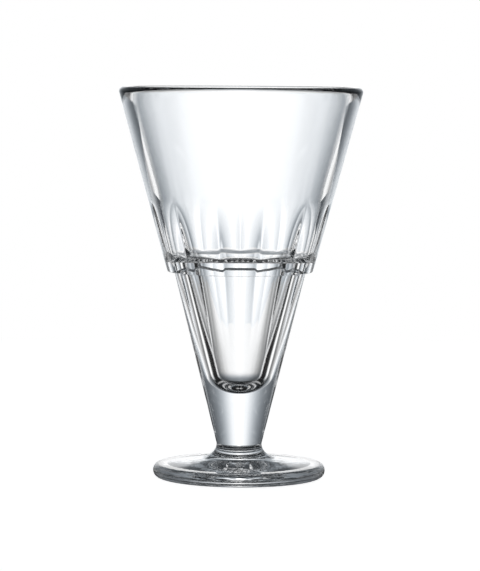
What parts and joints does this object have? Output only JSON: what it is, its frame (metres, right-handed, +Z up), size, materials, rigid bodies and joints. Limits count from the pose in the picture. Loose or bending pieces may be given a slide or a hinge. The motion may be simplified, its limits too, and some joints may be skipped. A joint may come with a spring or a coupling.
{
  "type": "dessert glass",
  "caption": "Heavy clear pressed-glass dessert glass: a tall conical bowl with a stacking shoulder, fluted inside, on a solid tapering stem and a round flared foot.",
  "frame": {"origin": "on the table, under the middle of the foot", "axes": "+Z up along the axis of the glass, -Y towards the middle of a flute"},
  "size_m": [0.0994, 0.0996, 0.16],
  "materials": {
    "bowl_glass": "clear, polished",
    "stem_glass": "clear, polished",
    "foot_glass": "clear, polished"
  },
  "bodies": {
    "root": {"bowl": "bowl_glass", "stem": "stem_glass", "foot": "foot_glass"}
  },
  "joints": []
}
